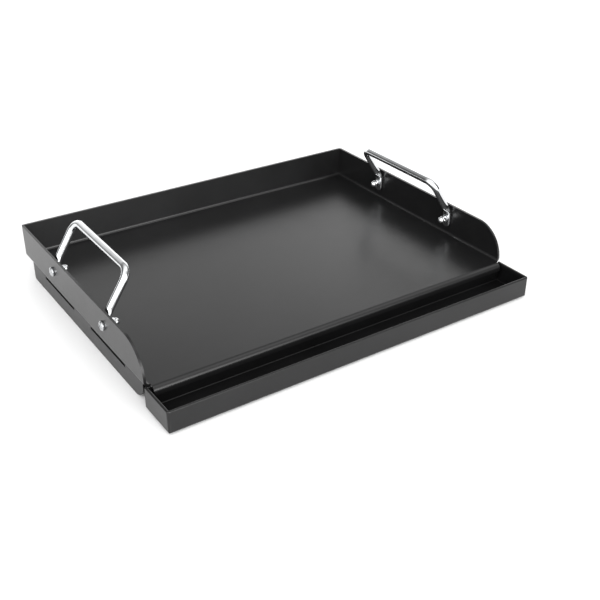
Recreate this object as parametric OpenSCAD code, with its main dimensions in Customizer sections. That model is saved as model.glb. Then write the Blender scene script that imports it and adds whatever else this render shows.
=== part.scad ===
// Flat-top griddle: a folded steel pan on two slotted rails, with a grease
// tray that slides out at the front and a bolted rod handle at each end.
// Millimetres. +Z is up and the front faces -Y. The origin is under the
// centre of the whole griddle, on the surface that the rails stand on.

/* [Pan] */
// Width over the side walls
pan_w = 432; // [380:1:520]
// Depth from the face of the front lip to the back wall
pan_d = 307; // [290:1:340]
// Height of the walls above the cooking plate
wall_h = 36; // [32:1:46]
// Thickness of the pan's sheet
pan_t = 2.5; // [2:0.1:3]
// Outer radius of the pan's folds
fold_r = 5.5; // [4:0.5:6]
// Height of the cooking plate's top above the ground
plate_z = 26; // [25:0.5:30]
// Drop of the front lip below the cooking plate's top
lip_drop = 8.5; // [7:0.5:9]
// Gap between each end of the lip and the pan's side
lip_inset = 6; // [6:0.5:8]
// Set-back of the side walls from the face of the lip
wall_back = 8; // [6:0.5:10]

/* [Rails and braces] */
// Inset of each side rail from the pan's side
rail_inset = 3.6; // [2:0.1:8]
// Thickness of the rails' sheet
rail_t = 2.5; // [2:0.1:3]
// Width of the rails' welded top flange
rail_flange = 13; // [10:1:18]
// Distance from the face of the lip to the rails' front ends
rail_front = 19; // [16:0.5:25]
// Distance from the rails' back ends to the back wall
rail_back = 12; // [8:0.5:25]
// Length of each slot in the side rails
slot_l = 80; // [40:1:90]
// Height of each slot
slot_h = 3; // [2:0.5:4]
// Distance between the two slots of a rail
slot_gap = 42; // [30:1:60]
// Height of the cross braces
brace_h = 11; // [8:1:14]
// Width of the channel in each cross brace
brace_w = 20; // [14:1:30]

/* [Grease tray] */
// How far the tray stands proud of the lip
tray_proud = 36.5; // [30:0.5:60]
// Clearance under the tray
tray_lift = 0.9; // [0.8:0.1:1.2]
// Height of the tray
tray_h = 24; // [22:0.5:24]
// Thickness of the tray's sheet
tray_t = 1.5; // [1.2:0.1:1.8]
// Depth of the folded hem round the tray's rim
hem_h = 5; // [4:0.5:6]
// Depth of the flange that slides into the brackets
flange_d = 14; // [12:0.5:16]

/* [Handles] */
// Diameter of the handle rod
rod_d = 8; // [7:0.1:9]
// Distance between the two bolts of a handle
bolt_gap = 126; // [100:1:160]
// Height of the bolts above the cooking plate's top
bolt_h = 19; // [18:0.5:22]
// Height of the grip's centre line above the cooking plate's top
grip_h = 68.5; // [60:0.5:80]
// Distance from the pan's side in to the grip's centre line
grip_in = 30.5; // [24:0.5:40]
// Bend radius of the handle rod, on its centre line
bend_r = 11.5; // [10:0.5:16]
// Width of the flattened ends of the rod
paddle_w = 11; // [10:0.5:13]
// Thickness of the flattened ends of the rod
paddle_t = 3.5; // [3:0.1:4]

/* [Hidden] */
$fn = 96;

coating = "#1d1d1f";
chrome = "#d4d6d9";
steel = "#a9adb2";

// Places along Y and Z that the sub-parts share
lip_y = tray_proud - (pan_d + tray_proud) / 2;
back_y = lip_y + pan_d;
wall_y = lip_y + wall_back;
under_z = plate_z - pan_t;
rim_z = plate_z + wall_h;
curve_foot = 0.5;
wall_curve = wall_h - curve_foot;
side_x = pan_w / 2;
inner_fold = fold_r - pan_t;
corner_r = 3;
more = 1;

// Rails
rail_x = side_x - rail_inset;
rail_y0 = lip_y + rail_front;
rail_y1 = back_y - rail_back;
rail_fold = rail_t;
rail_toe_r = 18;
rail_heel_r = 2;
slot_z = 18.2;
rear_rail_y = rail_y1 - rail_heel_r;

// Braces
brace_t = 1.5;
brace_foot = 9;
brace_half = rail_x - rail_flange - 1;
brace_first = 62;
brace_pitch = 90;

// Grease tray and the brackets that hold its flange
pass_gap = 1;
tray_y0 = lip_y - tray_proud;
tray_y1 = wall_y;
tray_z1 = tray_lift + tray_h;
tray_fold = 3;
hem_t = 2 * tray_t;
back_top = plate_z - lip_drop - pass_gap;
step_y = wall_y - pass_gap;
flange_half = 200;
bracket_x = 100;
bracket_w = 70;
bracket_t = 1.5;
bracket_foot = 13;
bracket_lip = 2;
keeper_inset = 5;
slide_gap = 0.2;

// Handles, worked out from the bolts and the grip
handle_y = (lip_y + back_y) / 2 + 1;
bolt_z = plate_z + bolt_h;
bolt_y = [handle_y - bolt_gap / 2, handle_y + bolt_gap / 2];
paddle_x = -side_x + pan_t + paddle_t / 2;
knee_h = 8.5;
knee_z = bolt_z + knee_h;
grip_x = -side_x + grip_in;
grip_z = plate_z + grip_h;
lean = atan2(grip_x - paddle_x, grip_z - knee_z);
leg_l = norm([grip_x - paddle_x, grip_z - knee_z]);
swell_l = 8;
paddle_end = 10;

// Handle fasteners, in the order they stack up from the side wall
hole_r = 2.75;
screw_r = 2.45;
head_r = 5;
head_h = 3.4;
head_side = 1.7;
washer_r = 5;
washer_t = 1;
spring_r = 4.3;
spring_t = 1.2;
nut_af = 8;
nut_hex_h = 3.8;
nut_dome_r = 3.7;
thread_l = 5;
stack_0 = pan_t + paddle_t;
stack_1 = stack_0 + washer_t;
stack_2 = stack_1 + spring_t;

// Pulls a profile drawn in (Y, Z) along X from x0
module across(x0, length) {
    translate([x0, 0, 0])
        rotate([90, 0, 90])
            linear_extrude(length)
                children();
}

// Pulls a profile drawn in (X, Z) along Y from y0
module along(y0, length) {
    translate([0, y0 + length, 0])
        rotate([90, 0, 0])
            linear_extrude(length)
                children();
}

// Rectangle between two corners
module box_2d(low, high) {
    translate(low)
        square(high - low);
}

// Rectangle with its two lower corners rounded
module tub_2d(low, high, r) {
    box_2d([low[0], low[1] + r], high);
    box_2d([low[0] + r, low[1]], [high[0] - r, high[1]]);
    translate([low[0] + r, low[1] + r])
        circle(r);
    translate([high[0] - r, low[1] + r])
        circle(r);
}

function unit(v) = v / norm(v);

// Section of a folded sheet whose centre line runs square from point to point
module strip_2d(points, t, r) {
    last = len(points) - 1;
    for (i = [0:last - 1]) {
        run = unit(points[i + 1] - points[i]);
        from = points[i] + run * (i == 0 ? 0 : r);
        to = points[i + 1] - run * (i == last - 1 ? 0 : r);
        side = [abs(run[1]), abs(run[0])] * t / 2;
        low = [min(from[0], to[0]), min(from[1], to[1])] - side;
        high = [max(from[0], to[0]), max(from[1], to[1])] + side;
        box_2d(low, high);
    }
    for (i = [1:1:last - 1]) {
        turn = unit(points[i - 1] - points[i]) + unit(points[i + 1] - points[i]);
        centre = points[i] + turn * r;
        outer = r + t / 2;
        intersection() {
            translate(centre)
                difference() {
                    circle(outer);
                    circle(r - t / 2);
                }
            translate(centre - turn * outer / 2)
                square(outer, center = true);
        }
    }
}

// ---------- Griddle pan ----------

// Outline of the side walls: square at the back, a quarter circle at the front
module wall_outline() {
    box_2d([wall_y + wall_curve, under_z], [back_y, rim_z]);
    box_2d([wall_y, under_z], [wall_y + wall_curve + more, rim_z - wall_curve]);
    translate([wall_y + wall_curve, rim_z - wall_curve])
        intersection() {
            circle(wall_curve);
            translate([-wall_curve, 0])
                square([wall_curve + more, wall_curve]);
        }
}

module lip_profile() {
    mid_z = plate_z - pan_t / 2;
    mid_y = lip_y + pan_t / 2;
    end_z = plate_z - lip_drop;
    strip_2d([[wall_y + more, mid_z], [mid_y, mid_z], [mid_y, end_z]], pan_t, fold_r - pan_t / 2);
}

module griddle_pan() {
    lip_half = side_x - lip_inset;
    color(coating)
        difference() {
            union() {
                intersection() {
                    across(-side_x, pan_w)
                        intersection() {
                            wall_outline();
                            tub_2d([wall_y - 2 * fold_r, under_z], [back_y, rim_z], fold_r);
                        }
                    along(wall_y - more, pan_d)
                        tub_2d([-side_x, under_z], [side_x, rim_z], fold_r);
                    translate([0, back_y, 0])
                        mirror([0, 1, 0])
                            linear_extrude(rim_z + more)
                                tub_2d([-side_x, 0], [side_x, pan_d], corner_r);
                }
                across(-lip_half, 2 * lip_half)
                    lip_profile();
            }
            intersection() {
                across(-side_x, pan_w)
                    tub_2d([lip_y - wall_curve, plate_z], [back_y - pan_t, rim_z + more], inner_fold);
                along(lip_y - wall_curve, pan_d + wall_curve)
                    tub_2d([-side_x + pan_t, plate_z], [side_x - pan_t, rim_z + more], inner_fold);
            }
            for (y = bolt_y)
                translate([-side_x - more, y, bolt_z])
                    rotate([0, 90, 0])
                        cylinder(r = hole_r, h = pan_w + 2 * more);
        }
}

// ---------- Rails and braces under the plate ----------

// Cuts the lower corner of a rail's web to a round toe; side is +1 or -1
module toe_cut(y, side, r) {
    translate([-rail_x - more, y, 0])
        difference() {
            translate([0, side > 0 ? -more : -r, -more])
                cube([rail_t + 2 * more, r + more, r + more]);
            translate([-more, side * r, r])
                rotate([0, 90, 0])
                    cylinder(r = r, h = rail_t + 4 * more);
        }
}

module slot(y) {
    end = slot_l / 2 - slot_h / 2;
    translate([-rail_x - more, y, slot_z]) {
        translate([0, -end, -slot_h / 2])
            cube([rail_t + 2 * more, 2 * end, slot_h]);
        for (side = [-end, end])
            translate([0, side, 0])
                rotate([0, 90, 0])
                    cylinder(r = slot_h / 2, h = rail_t + 2 * more);
    }
}

module side_rail() {
    web_x = -rail_x + rail_t / 2;
    top_z = under_z - rail_t / 2;
    middle = (rail_y0 + rail_y1) / 2;
    reach = (slot_gap + slot_l) / 2;
    color(coating)
        difference() {
            along(rail_y0, rail_y1 - rail_y0)
                strip_2d([[web_x, 0], [web_x, top_z], [-rail_x + rail_flange, top_z]], rail_t, rail_fold);
            translate([-rail_x + rail_t, rear_rail_y - rail_t - rail_flange, -more])
                cube([rail_flange, rail_flange * 2, under_z + 2 * more]);
            toe_cut(rail_y0, 1, rail_toe_r);
            toe_cut(rail_y1, -1, rail_heel_r);
            slot(middle - reach);
            slot(middle + reach);
        }
}

module left_rail() {
    side_rail();
}

module right_rail() {
    mirror([1, 0, 0])
        side_rail();
}

module rear_rail() {
    half = rail_x - rail_t;
    web_y = rear_rail_y - rail_t / 2;
    top_z = under_z - rail_t / 2;
    color(coating)
        across(-half, 2 * half)
            strip_2d([[web_y, 0], [web_y, top_z], [rear_rail_y - rail_flange, top_z]], rail_t, rail_fold);
}

// Top-hat channel welded to the plate by its two feet
module brace(place) {
    y = lip_y + brace_first + place * brace_pitch;
    foot_z = under_z - brace_t / 2;
    low_z = under_z - brace_h + brace_t / 2;
    half = brace_w / 2 - brace_t / 2;
    path = [[-half - brace_foot, foot_z], [-half, foot_z], [-half, low_z],
            [half, low_z], [half, foot_z], [half + brace_foot, foot_z]];
    color(coating)
        translate([0, y, 0])
            across(-brace_half, 2 * brace_half)
                strip_2d(path, brace_t, brace_t);
}

module front_brace() {
    brace(0);
}

module middle_brace() {
    brace(1);
}

module rear_brace() {
    brace(2);
}

// ---------- Grease tray and its brackets ----------

// Hem section: a flat band with a rounded top, its outer face on x = 0
module hem_2d() {
    translate([0, -hem_h])
        square([hem_t, hem_h - hem_t / 2]);
    translate([hem_t / 2, -hem_t / 2])
        circle(hem_t / 2);
}

module hem() {
    corner_y = tray_y0 + tray_fold;
    corner_x = side_x - tray_fold;
    translate([0, 0, tray_z1]) {
        across(-corner_x, 2 * corner_x)
            translate([tray_y0, 0])
                hem_2d();
        for (side = [0, 1])
            mirror([side, 0, 0]) {
                along(corner_y, step_y - corner_y)
                    translate([-side_x, 0])
                        hem_2d();
                translate([-corner_x, corner_y, 0])
                    rotate([0, 0, 180])
                        rotate_extrude(angle = 90)
                            translate([tray_fold, 0])
                                mirror([1, 0])
                                    hem_2d();
            }
    }
}

// Solid block with the tray's folds, shrunk all round by a thickness
module tray_block(t, top) {
    r = tray_fold - t;
    x = side_x - t;
    y0 = tray_y0 + t;
    y1 = tray_y1 - t;
    intersection() {
        across(-x, 2 * x)
            tub_2d([y0, tray_lift + t], [y1, top], r);
        along(y0, y1 - y0)
            tub_2d([-x, tray_lift + t], [x, top], r);
        translate([0, 0, tray_lift])
            linear_extrude(tray_h + more)
                tub_2d([-x, y0], [x, y1], r);
    }
}

module grease_tray() {
    color(coating) {
        difference() {
            tray_block(0, tray_z1 - hem_t / 2);
            tray_block(tray_t, tray_z1 + more);
            translate([-side_x - more, step_y, back_top])
                cube([pan_w + 2 * more, pan_d, tray_h]);
        }
        hem();
        translate([-flange_half, tray_y1 - tray_t, back_top - tray_t])
            cube([2 * flange_half, flange_d + tray_t, tray_t]);
    }
}

// Bracket under the plate: its lower leg carries the tray's flange
module tray_bracket() {
    leg_z = back_top - tray_t - slide_gap - bracket_t / 2;
    web_y = tray_y1 + flange_d + bracket_lip;
    top_z = under_z - bracket_t / 2;
    path = [[tray_y1 + bracket_lip, leg_z], [web_y, leg_z], [web_y, top_z], [web_y + bracket_foot, top_z]];
    color(coating)
        across(-bracket_x - bracket_w, bracket_w)
            strip_2d(path, bracket_t, bracket_t);
}

// Angle welded to the bracket's web: it keeps the flange from tipping up
module tray_keeper() {
    leg_z = back_top + slide_gap + bracket_t / 2;
    web_y = tray_y1 + flange_d + bracket_lip - bracket_t;
    path = [[tray_y1 + bracket_lip, leg_z], [web_y, leg_z], [web_y, under_z - bracket_t]];
    color(coating)
        across(-bracket_x - bracket_w + keeper_inset, bracket_w - 2 * keeper_inset)
            strip_2d(path, bracket_t, bracket_t);
}

module left_tray_bracket() {
    tray_bracket();
}

module right_tray_bracket() {
    mirror([1, 0, 0])
        tray_bracket();
}

module left_tray_keeper() {
    tray_keeper();
}

module right_tray_keeper() {
    mirror([1, 0, 0])
        tray_keeper();
}

// ---------- Handles ----------

// Turns a shape built along +Z to stand on the left wall's bolt at y, offset in
module on_bolt(y, depth) {
    translate([-side_x + depth, y, bolt_z])
        rotate([0, 90, 0])
            children();
}

// Flattened end of the rod, from its round tip up to the knee
module paddle(y) {
    difference() {
        union() {
            translate([paddle_x - paddle_t / 2, y - paddle_w / 2, bolt_z - paddle_end + paddle_w / 2])
                cube([paddle_t, paddle_w, knee_z - bolt_z + paddle_end - paddle_w / 2]);
            translate([paddle_x - paddle_t / 2, y, bolt_z - paddle_end + paddle_w / 2])
                rotate([0, 90, 0])
                    cylinder(d = paddle_w, h = paddle_t);
        }
        on_bolt(y, 0)
            cylinder(r = hole_r, h = pan_t + paddle_t + more);
    }
}

module lean_in() {
    translate([paddle_x, handle_y, knee_z])
        rotate([0, lean, 0])
            children();
}

// Short stretch of the leg where the flat end swells into the round rod
module swell() {
    flare = 0.3;
    top = rod_d / 2 + flare;
    intersection() {
        along(-paddle_w, 2 * paddle_w)
            polygon([[-paddle_t / 2, 0], [paddle_t / 2, 0], [top, swell_l], [-top, swell_l]]);
        across(-rod_d, 2 * rod_d)
            polygon([[-paddle_w / 2, 0], [paddle_w / 2, 0], [top, swell_l], [-top, swell_l]]);
        cylinder(d1 = paddle_w + more, d2 = rod_d, h = swell_l);
    }
}

module handle() {
    color(chrome) {
        for (y = bolt_y) {
            paddle(y);
            translate([paddle_x, y - paddle_w / 2, knee_z])
                rotate([-90, 0, 0])
                    cylinder(d = paddle_t, h = paddle_w);
        }
        lean_in() {
            for (side = [0, 1])
                mirror([0, side, 0]) {
                    translate([0, bolt_gap / 2, 0])
                        swell();
                    translate([0, bolt_gap / 2, swell_l])
                        cylinder(d = rod_d, h = leg_l - bend_r - swell_l);
                    translate([0, bolt_gap / 2 - bend_r, leg_l - bend_r])
                        rotate([90, 0, 90])
                            rotate_extrude(angle = 90)
                                translate([bend_r, 0])
                                    circle(d = rod_d);
                }
            translate([0, bend_r - bolt_gap / 2, leg_l])
                rotate([-90, 0, 0])
                    cylinder(d = rod_d, h = bolt_gap - 2 * bend_r);
        }
    }
}

module left_handle() {
    handle();
}

module right_handle() {
    mirror([1, 0, 0])
        handle();
}

// ---------- Handle fasteners ----------

// Pan-head screw, its head outside the wall, with a cross recess
module screw(y) {
    rise = head_h - head_side;
    cap_r = (head_r * head_r + rise * rise) / (2 * rise);
    recess_d = 1.4;
    recess_w = 1.3;
    recess_l = 5;
    on_bolt(y, 0) {
        difference() {
            rotate([180, 0, 0])
                rotate_extrude()
                    intersection() {
                        translate([0, head_h - cap_r])
                            circle(cap_r);
                        square([head_r, head_h]);
                    }
            for (turn = [0, 90])
                rotate([0, 0, turn])
                    translate([-recess_l / 2, -recess_w / 2, -head_h - more])
                        cube([recess_l, recess_w, recess_d + more]);
        }
        cylinder(r = screw_r, h = stack_2 + thread_l);
    }
}

module handle_screws() {
    color(steel)
        for (y = bolt_y)
            screw(y);
}

module flat_washers() {
    color(steel)
        for (y = bolt_y)
            on_bolt(y, stack_0)
                difference() {
                    cylinder(r = washer_r, h = washer_t);
                    translate([0, 0, -more])
                        cylinder(r = hole_r, h = washer_t + 2 * more);
                }
}

// Split ring; the split lies at an angle, as it is cut
module spring_washers() {
    split_w = 0.9;
    color(steel)
        for (y = bolt_y)
            on_bolt(y, stack_1)
                difference() {
                    cylinder(r = spring_r, h = spring_t);
                    translate([0, 0, -more])
                        cylinder(r = hole_r, h = spring_t + 2 * more);
                    translate([0, -split_w / 2, -more])
                        cube([spring_r + more, split_w, spring_t + 2 * more]);
                }
}

// Domed nut with a blind thread
module cap_nuts() {
    hex_r = nut_af / 2 / cos(30);
    thread_gap = 0.05;
    color(chrome)
        for (y = bolt_y)
            on_bolt(y, stack_2)
                difference() {
                    union() {
                        cylinder(r = hex_r, h = nut_hex_h, $fn = 6);
                        cylinder(r = nut_dome_r, h = nut_hex_h + more);
                        translate([0, 0, nut_hex_h + more])
                            sphere(nut_dome_r);
                    }
                    translate([0, 0, -more])
                        cylinder(r = screw_r + thread_gap, h = thread_l + 2 * more);
                }
}

module left_handle_screws() {
    handle_screws();
}

module right_handle_screws() {
    mirror([1, 0, 0])
        handle_screws();
}

module left_flat_washers() {
    flat_washers();
}

module right_flat_washers() {
    mirror([1, 0, 0])
        flat_washers();
}

module left_spring_washers() {
    spring_washers();
}

module right_spring_washers() {
    mirror([1, 0, 0])
        spring_washers();
}

module left_cap_nuts() {
    cap_nuts();
}

module right_cap_nuts() {
    mirror([1, 0, 0])
        cap_nuts();
}

griddle_pan();
left_rail();
right_rail();
rear_rail();
front_brace();
middle_brace();
rear_brace();
left_tray_bracket();
right_tray_bracket();
left_tray_keeper();
right_tray_keeper();
grease_tray();
left_handle();
right_handle();
left_handle_screws();
right_handle_screws();
left_flat_washers();
right_flat_washers();
left_spring_washers();
right_spring_washers();
left_cap_nuts();
right_cap_nuts();
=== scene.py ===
import math
import bmesh
import bpy
from mathutils import Matrix, Vector


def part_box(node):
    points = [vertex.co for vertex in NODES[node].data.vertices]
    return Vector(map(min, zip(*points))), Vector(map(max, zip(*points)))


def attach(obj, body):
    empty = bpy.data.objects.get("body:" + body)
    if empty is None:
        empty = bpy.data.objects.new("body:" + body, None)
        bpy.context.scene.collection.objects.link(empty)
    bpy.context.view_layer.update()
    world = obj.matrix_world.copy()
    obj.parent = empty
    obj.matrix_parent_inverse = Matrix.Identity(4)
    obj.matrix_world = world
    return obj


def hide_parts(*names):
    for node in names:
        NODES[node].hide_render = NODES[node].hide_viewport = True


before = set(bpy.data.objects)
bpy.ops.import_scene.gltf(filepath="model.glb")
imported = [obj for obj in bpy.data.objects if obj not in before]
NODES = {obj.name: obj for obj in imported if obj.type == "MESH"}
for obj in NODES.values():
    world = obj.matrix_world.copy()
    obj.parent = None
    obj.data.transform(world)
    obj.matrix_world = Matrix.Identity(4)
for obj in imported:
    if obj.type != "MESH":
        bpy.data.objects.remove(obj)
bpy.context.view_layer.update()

MM = 0.001


# ---------------------------------------------------------------- materials

class Nodes:
    """Small builder for a node material: one Principled shader, with helpers that add and link nodes."""

    def __init__(self, name):
        self.mat = bpy.data.materials.new(name)
        self.mat.use_nodes = True
        self.tree = self.mat.node_tree
        self.shader = self.tree.nodes["Principled BSDF"]
        self.place = self.tree.nodes.new("ShaderNodeTexCoord").outputs["Object"]

    def add(self, kind):
        return self.tree.nodes.new(kind)

    def link(self, a, b):
        self.tree.links.new(a, b)

    def noise(self, scale, detail=3.0, rough=0.55):
        node = self.add("ShaderNodeTexNoise")
        node.inputs["Scale"].default_value = scale
        node.inputs["Detail"].default_value = detail
        node.inputs["Roughness"].default_value = rough
        self.link(self.place, node.inputs["Vector"])
        return node.outputs["Fac"]

    def spread(self, fac, low, high, start=0.3, end=0.7):
        node = self.add("ShaderNodeMapRange")
        node.inputs["From Min"].default_value = start
        node.inputs["From Max"].default_value = end
        node.inputs["To Min"].default_value = low
        node.inputs["To Max"].default_value = high
        self.link(fac, node.inputs["Value"])
        return node.outputs["Result"]

    def ramp(self, fac, dark, light, start=0.3, end=0.7):
        node = self.add("ShaderNodeValToRGB")
        node.color_ramp.elements[0].position = start
        node.color_ramp.elements[1].position = end
        node.color_ramp.elements[0].color = (*dark, 1)
        node.color_ramp.elements[1].color = (*light, 1)
        self.link(fac, node.inputs["Fac"])
        return node.outputs["Color"]

    def math(self, op, a, b):
        node = self.add("ShaderNodeMath")
        node.operation = op
        for socket, value in zip(node.inputs, (a, b)):
            if isinstance(value, (int, float)):
                socket.default_value = value
            else:
                self.link(value, socket)
        return node.outputs[0]

    def bump(self, height, distance, after=None):
        node = self.add("ShaderNodeBump")
        node.inputs["Strength"].default_value = 1.0
        node.inputs["Distance"].default_value = distance
        self.link(height, node.inputs["Height"])
        if after is not None:
            self.link(after, node.inputs["Normal"])
        return node.outputs["Normal"]

    def out(self, name, socket):
        self.link(socket, self.shader.inputs[name])


def coating(name, tone, rough, peel, ior):
    """Baked non-stick coating: near-black, satin, with a fine orange peel and faint mottling."""
    m = Nodes(name)
    m.shader.inputs["IOR"].default_value = ior
    cloud = m.noise(16.0, 4.0, 0.6)
    grain = m.noise(2600.0, 2.0, 0.6)
    mix = m.math("ADD", m.math("MULTIPLY", cloud, 0.6), m.math("MULTIPLY", grain, 0.4))
    m.out("Base Color", m.ramp(mix, [c * 0.75 for c in tone], [c * 1.3 for c in tone], 0.38, 0.62))
    handled = m.noise(38.0, 5.0, 0.65)
    mix = m.math("ADD", m.math("MULTIPLY", handled, 0.7), m.math("MULTIPLY", grain, 0.3))
    m.out("Roughness", m.spread(mix, rough - 0.015, rough + 0.015, 0.35, 0.65))
    depth = 0.02 * MM * peel
    wide = m.bump(m.noise(420.0, 2.0, 0.5), depth)
    m.out("Normal", m.bump(m.noise(1500.0, 2.0, 0.5), depth, wide))
    return m.mat


def chrome():
    """Bright chrome plate: mirror-like, with a faint draw-line and polish haze."""
    m = Nodes("chrome_plate")
    m.shader.inputs["Metallic"].default_value = 1.0
    haze = m.noise(60.0, 4.0, 0.6)
    m.out("Base Color", m.ramp(haze, (0.70, 0.71, 0.72), (0.80, 0.81, 0.82), 0.35, 0.65))
    m.out("Roughness", m.spread(haze, 0.05, 0.11, 0.35, 0.65))
    m.out("Normal", m.bump(m.noise(240.0, 2.0, 0.5), 0.02 * MM))
    return m.mat


def zinc():
    """Zinc-plated steel for the screws and washers."""
    m = Nodes("zinc_plate")
    m.shader.inputs["Metallic"].default_value = 1.0
    fine = m.noise(900.0, 3.0, 0.6)
    m.out("Base Color", m.ramp(fine, (0.40, 0.41, 0.42), (0.58, 0.59, 0.60), 0.35, 0.65))
    m.out("Roughness", m.spread(m.noise(300.0, 3.0), 0.16, 0.3, 0.35, 0.65))
    m.out("Normal", m.bump(fine, 0.03 * MM))
    return m.mat


PAN = coating("pan_non_stick", (0.0062, 0.0062, 0.0064), 0.29, 1.0, 1.5)
# The tray has the pan's coating with a darker tone. This is painted shade: the whole tray is darkened to stand in for
# the shade inside it.
TRAY_SHADE_DARKENED = coating("tray_non_stick_painted_shade", (0.0055, 0.0055, 0.0057), 0.30, 1.0, 1.43)
FRAME = coating("frame_black", (0.007, 0.007, 0.0072), 0.36, 1.4, 1.44)
CHROME = chrome()
ZINC = zinc()


# ---------------------------------------------------------------- mesh helpers

def new_object(name, mesh):
    obj = bpy.data.objects.new(name, mesh)
    bpy.context.scene.collection.objects.link(obj)
    return obj


def from_bmesh(name, bm):
    mesh = bpy.data.meshes.new(name)
    bm.normal_update()
    bm.to_mesh(mesh)
    bm.free()
    return new_object(name, mesh)


def apply_all(obj):
    """Bakes an object's modifiers into its mesh."""
    bpy.context.view_layer.update()
    graph = bpy.context.evaluated_depsgraph_get()
    mesh = bpy.data.meshes.new_from_object(obj.evaluated_get(graph))
    obj.modifiers.clear()
    old = obj.data
    obj.data = mesh
    bpy.data.meshes.remove(old)
    return obj


def soften(obj, width, segments=3, angle=40):
    """Rounds the sharp edges and keeps the flats flat."""
    bevel = obj.modifiers.new("edge", "BEVEL")
    bevel.width = width * MM
    bevel.segments = segments
    bevel.limit_method = "ANGLE"
    bevel.angle_limit = math.radians(angle)
    bevel.use_clamp_overlap = True
    bevel.miter_outer = "MITER_ARC"
    for poly in obj.data.polygons:
        poly.use_smooth = True
    weighted = obj.modifiers.new("flats", "WEIGHTED_NORMAL")
    weighted.keep_sharp = False
    weighted.weight = 80
    return apply_all(obj)


def copy_of(node, name):
    """A new mesh with the CAD node's faces welded and its flats merged."""
    bm = bmesh.new()
    bm.from_mesh(NODES[node].data)
    bmesh.ops.remove_doubles(bm, verts=bm.verts, dist=0.004 * MM)
    bmesh.ops.dissolve_limit(bm, angle_limit=math.radians(0.4), verts=bm.verts, edges=bm.edges)
    return from_bmesh(name, bm)


def finish(obj, material, slot, body, *nodes):
    obj.data.materials.clear()
    obj.data.materials.append(material)
    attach(obj, body)
    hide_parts(*nodes)
    return obj


def loft(name, rings, cap=True):
    """Joins rings of points into one skin, capped at both ends unless the rings close on themselves."""
    bm = bmesh.new()
    rows = [[bm.verts.new(p) for p in ring] for ring in rings]
    count = len(rows[0])
    for low, high in zip(rows, rows[1:]):
        for i in range(count):
            j = (i + 1) % count
            bm.faces.new((low[i], low[j], high[j], high[i]))
    if cap:
        bm.faces.new(rows[0][::-1])
        bm.faces.new(rows[-1])
    bmesh.ops.remove_doubles(bm, verts=bm.verts, dist=0.001 * MM)
    bmesh.ops.recalc_face_normals(bm, faces=bm.faces)
    for face in bm.faces:
        face.smooth = True
    return from_bmesh(name, bm)


# ---------------------------------------------------------------- sheet metal pieces

def folded(node, name, width, material, slot, body):
    return finish(soften(copy_of(node, name), width), material, slot, body, node)


folded("griddle_pan", "pan_shell", 0.55, PAN, "pan_coating", "griddle")
folded("left_rail", "left_rail_sheet", 0.4, FRAME, "frame_coating", "griddle")
folded("right_rail", "right_rail_sheet", 0.4, FRAME, "frame_coating", "griddle")
folded("rear_rail", "rear_rail_sheet", 0.4, FRAME, "frame_coating", "griddle")
folded("grease_tray", "tray_shell", 0.3, TRAY_SHADE_DARKENED, "tray_coating", "grease_tray")


# ---------------------------------------------------------------- handles

LOW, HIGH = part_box("left_handle")
ROD_R = 4.0
PADDLE_W = 5.5
PADDLE_T = 1.75
BEND_R = 11.5
KNEE_R = 6.0
TIP = 10.0
MID_Y = (LOW.y + HIGH.y) / 2 / MM
LEG_Y = (HIGH.y - LOW.y) / 2 / MM - PADDLE_W
PADDLE_X = LOW.x / MM + PADDLE_T
BOLT_Z = LOW.z / MM + TIP
KNEE_Z = BOLT_Z + 8.5
TOP_Z = HIGH.z / MM - ROD_R
TOP_X = HIGH.x / MM - ROD_R
LEAN = math.atan2(TOP_X - PADDLE_X, TOP_Z - KNEE_Z)
LEG_L = math.hypot(TOP_X - PADDLE_X, TOP_Z - KNEE_Z)


def ease(t):
    t = min(max(t, 0.0), 1.0)
    return t * t * (3 - 2 * t)


def section(centre, thick_axis, wide_axis, half_t, half_w, power, count=40):
    """Ring of a superellipse: power 2 is an ellipse, more is a rounded bar."""
    ring = []
    for i in range(count):
        angle = 2 * math.pi * i / count
        c, s = math.cos(angle), math.sin(angle)
        a = math.copysign(abs(c) ** (2 / power), c) * half_t
        b = math.copysign(abs(s) ** (2 / power), s) * half_w
        ring.append((centre + thick_axis * a + wide_axis * b) * MM)
    return ring


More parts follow.
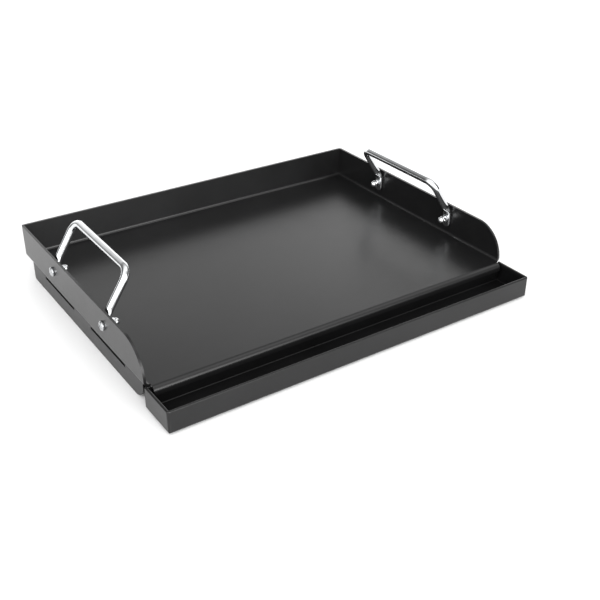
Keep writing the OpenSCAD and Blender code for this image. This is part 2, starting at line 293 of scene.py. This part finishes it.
def leg_rings():
    """From the tip of the paddle up the leg and round the bend to the start of the grip, at y = LEG_Y."""
    rings = []
    wide = Vector((0, 1, 0))
    out = Vector((-1, 0, 0))
    tip_z = BOLT_Z - TIP
    for i in range(9):
        angle = math.pi / 2 * (i / 8)
        half = max(PADDLE_W * math.sin(angle), 0.25)
        z = tip_z + PADDLE_W * (1 - math.cos(angle))
        thin = PADDLE_T * (0.72 + 0.28 * min(1.0, i / 3))
        rings.append(section(Vector((PADDLE_X, LEG_Y, z)), out, wide, thin, half, 2 + 4 * ease(i / 6)))
    run = KNEE_R * math.tan(LEAN / 2)
    for t in (0.5, 1.0):
        z = tip_z + PADDLE_W + t * (KNEE_Z - run - tip_z - PADDLE_W)
        rings.append(section(Vector((PADDLE_X, LEG_Y, z)), out, wide, PADDLE_T, PADDLE_W, 6))
    for i in range(1, 7):
        angle = LEAN * i / 6
        centre = Vector((PADDLE_X + KNEE_R * (1 - math.cos(angle)), LEG_Y,
                         KNEE_Z - run + KNEE_R * math.sin(angle)))
        axis = Vector((-math.cos(angle), 0, math.sin(angle)))
        grow = ease(i / 6) * 0.12
        rings.append(section(centre, axis, wide, PADDLE_T + (ROD_R - PADDLE_T) * grow,
                             PADDLE_W + (ROD_R - PADDLE_W) * grow, 6 - 2 * ease(i / 6)))
    up = Vector((math.sin(LEAN), 0, math.cos(LEAN)))
    axis = Vector((-math.cos(LEAN), 0, math.sin(LEAN)))
    base = Vector((PADDLE_X, LEG_Y, KNEE_Z))
    swell_end = 9.0
    for i in range(1, 13):
        t = i / 12
        grow = 0.12 + 0.88 * ease(t)
        length = run + (swell_end - run) * t
        rings.append(section(base + up * length, axis, wide, PADDLE_T + (ROD_R - PADDLE_T) * grow,
                             PADDLE_W + (ROD_R - PADDLE_W) * grow, 4 - 2 * ease(t)))
    for t in (0.5, 1.0):
        length = swell_end + (LEG_L - BEND_R - swell_end) * t
        rings.append(section(base + up * length, axis, wide, ROD_R, ROD_R, 2))
    for i in range(1, 17):
        angle = math.pi / 2 * i / 16
        centre = base + up * (LEG_L - BEND_R + BEND_R * math.sin(angle)) - wide * BEND_R * (1 - math.cos(angle))
        side = wide * math.cos(angle) + up * math.sin(angle)
        rings.append(section(centre, axis, side, ROD_R, ROD_R, 2))
    return rings


def handle(name, sign):
    half = leg_rings()
    other = [[Vector((p.x, -p.y, p.z)) for p in ring] for ring in half]
    rings = half + [[Vector((p.x, 0, p.z)) for p in half[-1]]] + other[::-1]
    rings = [[Vector((p.x * sign, p.y + MID_Y * MM, p.z)) for p in ring] for ring in rings]
    return loft(name, rings)


for side, sign in (("left", 1), ("right", -1)):
    finish(handle(side + "_rod_handle", sign), CHROME, "handle_chrome", "griddle", side + "_handle")


# ---------------------------------------------------------------- fasteners

BOLT_Y = (MID_Y - LEG_Y, MID_Y + LEG_Y)
WALL_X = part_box("griddle_pan")[0].x / MM


def turned(profile, count=48):
    """Rings for a body of revolution about X, profile as (depth, radius)."""
    rings = []
    for depth, radius in profile:
        turns = [2 * math.pi * i / count for i in range(count)]
        rings.append([Vector((depth, radius * math.cos(a), radius * math.sin(a))) for a in turns])
    return rings


def on_wall(rings, y, sign, spin=0.0):
    c, s = math.cos(spin), math.sin(spin)
    return [[Vector(((WALL_X + p.x) * sign, y + p.y * c - p.z * s, BOLT_Z + p.y * s + p.z * c)) * MM for p in ring]
            for ring in rings]


def join(name, objects):
    bm = bmesh.new()
    for obj in objects:
        bm.from_mesh(obj.data)
        old = obj.data
        bpy.data.objects.remove(obj)
        bpy.data.meshes.remove(old)
    return from_bmesh(name, bm)


def cut(obj, cutter):
    mod = obj.modifiers.new("cut", "BOOLEAN")
    mod.operation = "DIFFERENCE"
    mod.solver = "EXACT"
    mod.object = cutter
    apply_all(obj)
    old = cutter.data
    bpy.data.objects.remove(cutter)
    bpy.data.meshes.remove(old)
    return obj


HEAD_R, HEAD_SIDE, HEAD_H = 4.95, 1.6, 3.35
SHANK_R, SHANK_L = 2.45, 13.0


def screw(y, sign, spin):
    """Pan head with a cross recess, outside the wall, and its shank."""
    profile = [(0.0, 0.01), (0.0, HEAD_R - 0.25), (-0.12, HEAD_R - 0.06), (-0.3, HEAD_R)]
    for i in range(17):
        angle = math.pi / 2 * i / 16
        rise = (HEAD_H - HEAD_SIDE) * math.sin(angle)
        profile.append((-HEAD_SIDE - rise, max(HEAD_R * math.cos(angle) ** 0.9, 0.01)))
    head = loft("head", on_wall(turned(profile), y, sign))
    wings = []
    for turn in (0, math.pi / 2):
        rows = []
        for depth, length, width in ((-HEAD_H - 0.6, 5.9, 1.35), (-HEAD_H + 0.25, 5.0, 1.15),
                                     (-HEAD_H + 1.0, 3.2, 0.95), (-HEAD_H + 1.55, 1.1, 0.7)):
            a, b = length / 2, width / 2
            corners = ((a, b), (-a, b), (-a, -b), (a, -b))
            rows.append([Vector((depth, y_off, z_off)) for y_off, z_off in corners])
        wings.append(loft("wing", on_wall(rows, y, sign, spin + turn)))
    for wing in wings:
        head = cut(head, wing)
    shank = [(-0.2, 0.01), (-0.2, SHANK_R)]
    pitch = 0.8
    steps = int((SHANK_L - 1.0) / pitch * 2)
    for i in range(steps):
        shank.append((0.4 + i * pitch / 2, SHANK_R if i % 2 else SHANK_R - 0.3))
    shank += [(SHANK_L - 0.5, SHANK_R - 0.3), (SHANK_L, SHANK_R - 0.8), (SHANK_L, 0.01)]
    return [head, loft("shank", on_wall(turned(shank, 32), y, sign))]


def ring_body(name, y, sign, depth, height, inner, outer, edge):
    profile = [(depth, inner), (depth, outer - edge), (depth + edge, outer), (depth + height - edge, outer),
               (depth + height, outer - edge), (depth + height, inner + edge / 2), (depth + height - edge / 2, inner)]
    profile.append(profile[0])
    return loft(name, on_wall(turned(profile), y, sign), cap=False)


def split_ring(y, sign, depth, height, inner, outer):
    """Spring washer: a square-section coil that is cut across and springs a little open."""
    rows = []
    gap, rise, count = 0.22, 0.35, 56
    for i in range(count + 1):
        angle = gap / 2 + (2 * math.pi - gap) * i / count + math.pi / 3
        lift = rise * (i / count - 0.5) * 0.5
        low, high = depth + 0.12 + lift * 0.6, depth + height - 0.12 + lift * 0.6
        c, s = math.cos(angle), math.sin(angle)
        corner = 0.15
        flat = [(low, inner + corner), (low, outer - corner), (low + corner, outer), (high - corner, outer),
                (high, outer - corner), (high, inner + corner), (high - corner, inner), (low + corner, inner)]
        rows.append([Vector((d, r * c, r * s)) for d, r in flat])
    return loft("split", on_wall(rows, y, sign))


def cap_nut(y, sign, depth, spin):
    """Acorn nut: chamfered hexagon, short neck and dome."""
    flat, hex_h, dome_r = 4.0, 3.9, 3.72
    corner = flat / math.cos(math.pi / 6)
    count = 72
    rows = []

    def hex_r(angle, limit):
        local = (angle + math.pi / 6) % (math.pi / 3) - math.pi / 6
        return min(flat / math.cos(local), limit)

    for d, limit in ((0.0, flat + 0.02), (0.0, flat + 0.1), (0.3, corner - 0.04), (hex_h - 0.75, corner - 0.04),
                     (hex_h - 0.45, flat + 0.32), (hex_h - 0.2, flat + 0.12), (hex_h, flat - 0.12)):
        turns = [2 * math.pi * i / count for i in range(count)]
        rows.append([Vector((depth + d, hex_r(a, limit) * math.cos(a), hex_r(a, limit) * math.sin(a))) for a in turns])
    profile = [(depth + hex_h + 0.1, dome_r), (depth + hex_h + 0.9, dome_r)]
    for i in range(1, 13):
        angle = math.pi / 2 * i / 12
        profile.append((depth + hex_h + 0.9 + dome_r * math.sin(angle), max(dome_r * math.cos(angle), 0.01)))
    return loft("nut", on_wall(rows + turned(profile, count), y, sign, spin))


SHEET_T, WASHER_T, SPRING_T = 2.5, 1.0, 1.2
HOLE_R, WASHER_R, SPRING_R = 2.75, 5.0, 4.25
DEPTH_PADDLE = SHEET_T + 2 * PADDLE_T
DEPTH_SPRING = DEPTH_PADDLE + WASHER_T
DEPTH_NUT = DEPTH_SPRING + SPRING_T
HEAD_TURNS = (0.35, 1.1)
CREASE = 32


def finish_pair(side, piece_name, node, parts, material, slot):
    piece = join(side + piece_name, parts)
    for poly in piece.data.polygons:
        poly.use_smooth = True
    piece.data.set_sharp_from_angle(angle=math.radians(CREASE))
    finish(piece, material, slot, "griddle", side + node)


for side, sign in (("left", 1), ("right", -1)):
    heads, flats, springs, nuts = [], [], [], []
    for turn, y in zip(HEAD_TURNS, BOLT_Y):
        heads += screw(y, sign, turn)
        flats.append(ring_body("flat", y, sign, DEPTH_PADDLE, WASHER_T, HOLE_R, WASHER_R, 0.18))
        springs.append(split_ring(y, sign, DEPTH_SPRING, SPRING_T, HOLE_R, SPRING_R))
        nuts.append(cap_nut(y, sign, DEPTH_NUT, turn))
    finish_pair(side, "_screw_pair", "_handle_screws", heads, ZINC, "zinc_steel")
    finish_pair(side, "_washer_pair", "_flat_washers", flats, ZINC, "zinc_steel")
    finish_pair(side, "_spring_washer_pair", "_spring_washers", springs, ZINC, "zinc_steel")
    finish_pair(side, "_cap_nut_pair", "_cap_nuts", nuts, CHROME, "handle_chrome")


# ---------------------------------------------------------------- carried-over CAD nodes

for name in ("front_brace", "middle_brace", "rear_brace", "left_tray_bracket", "right_tray_bracket",
             "left_tray_keeper", "right_tray_keeper"):
    NODES[name].data.materials.clear()
    NODES[name].data.materials.append(FRAME)


# ---------------------------------------------------------------- studio

def stage_floor():
    m = Nodes("studio_floor")
    m.out("Base Color", m.ramp(m.noise(3.0, 2.0), (0.90, 0.90, 0.90), (0.92, 0.92, 0.92)))
    m.shader.inputs["Roughness"].default_value = 0.7
    m.shader.inputs["Specular IOR Level"].default_value = 0.2
    bm = bmesh.new()
    bmesh.ops.create_circle(bm, cap_ends=True, radius=9.0, segments=96)
    floor = from_bmesh("floor", bm)
    floor.location.z = -0.0002
    floor.data.materials.append(m.mat)


def stage_surround():
    """Pale dome behind everything. Only straight views meet it, so it neither lights nor shades the object."""
    m = Nodes("studio_surround")
    m.shader.inputs["Base Color"].default_value = (0, 0, 0, 1)
    m.shader.inputs["Emission Color"].default_value = (1, 1, 1, 1)
    m.out("Emission Strength", m.spread(m.noise(1.0, 2.0), 1.0, 1.05))
    m.mat.cycles.emission_sampling = "NONE"
    bm = bmesh.new()
    bmesh.ops.create_uvsphere(bm, u_segments=64, v_segments=32, radius=8.8)
    dome = from_bmesh("surround", bm)
    dome.data.materials.append(m.mat)
    dome.visible_diffuse = False
    dome.visible_glossy = False
    dome.visible_transmission = False
    dome.visible_shadow = False


# Soft glows round the stage. A glow is a rounded lobe of brightness round one direction.
OVERHEAD = 1.0
FRONT_KEY = 10.5
LOW_SIDES = 2.2
HIGH_LEFT = 2.8
HIGH_RIGHT = 1.4
NEAR_FLOOR, WIDE, TIGHT = 12, 6, 14


def light_rig():
    """Azimuth and elevation in degrees, sharpness, level."""
    low = [(azimuth, NEAR_FLOOR, TIGHT, LOW_SIDES) for azimuth in (-135, -90, 0, 45)]
    return low + [(0, 90, WIDE, OVERHEAD), (180, NEAR_FLOOR, TIGHT, FRONT_KEY),
                  (-120, 45, 9, HIGH_LEFT), (110, 55, TIGHT, HIGH_RIGHT)]


def studio_world():
    """Lights the stage by adding up the glows of the rig."""
    world = bpy.data.worlds.new("studio")
    bpy.context.scene.world = world
    world.use_nodes = True
    tree = world.node_tree
    coord = tree.nodes.new("ShaderNodeTexCoord").outputs["Generated"]
    total = None
    for azimuth, elevation, sharpness, level in light_rig():
        a, e = math.radians(azimuth), math.radians(elevation)
        dot = tree.nodes.new("ShaderNodeVectorMath")
        dot.operation = "DOT_PRODUCT"
        dot.inputs[1].default_value = (math.sin(a) * math.cos(e), math.cos(a) * math.cos(e), math.sin(e))
        tree.links.new(coord, dot.inputs[0])
        fall = tree.nodes.new("ShaderNodeMath")
        fall.operation = "MULTIPLY_ADD"
        fall.inputs[1].default_value = sharpness
        fall.inputs[2].default_value = -sharpness
        tree.links.new(dot.outputs["Value"], fall.inputs[0])
        lobe = tree.nodes.new("ShaderNodeMath")
        lobe.operation = "EXPONENT"
        tree.links.new(fall.outputs[0], lobe.inputs[0])
        scaled = tree.nodes.new("ShaderNodeMath")
        scaled.operation = "MULTIPLY_ADD"
        scaled.inputs[1].default_value = level
        scaled.inputs[2].default_value = 0.0
        tree.links.new(lobe.outputs[0], scaled.inputs[0])
        if total is not None:
            tree.links.new(total, scaled.inputs[2])
        total = scaled.outputs[0]
    tree.links.new(total, tree.nodes["Background"].inputs["Strength"])
    tree.nodes["Background"].inputs["Color"].default_value = (1, 1, 1, 1)


stage_floor()
stage_surround()
studio_world()

bpy.context.scene.view_settings.view_transform = "Standard"


# ---------------------------------------------------------------- camera

CAMERA_AT = (-0.4692, -0.7364, 0.4922)
CAMERA_TURN = (-34.46, 30.31, 0.57)
CAMERA_LENS = 54.32


def camera():
    """Azimuth, elevation and roll in degrees give the way the camera looks."""
    azimuth, elevation, roll = (math.radians(v) for v in CAMERA_TURN)
    forward = Vector((-math.sin(azimuth) * math.cos(elevation), math.cos(azimuth) * math.cos(elevation),
                      -math.sin(elevation)))
    right = forward.cross(Vector((0, 0, 1))).normalized()
    up = right.cross(forward)
    right, up = right * math.cos(roll) + up * math.sin(roll), up * math.cos(roll) - right * math.sin(roll)
    data = bpy.data.cameras.new("camera")
    data.lens = CAMERA_LENS
    data.sensor_width = 36.0
    obj = bpy.data.objects.new("camera", data)
    bpy.context.scene.collection.objects.link(obj)
    turn = Matrix((right, up, -forward)).transposed()
    obj.matrix_world = Matrix.Translation(CAMERA_AT) @ turn.to_4x4()
    bpy.context.scene.camera = obj


camera()
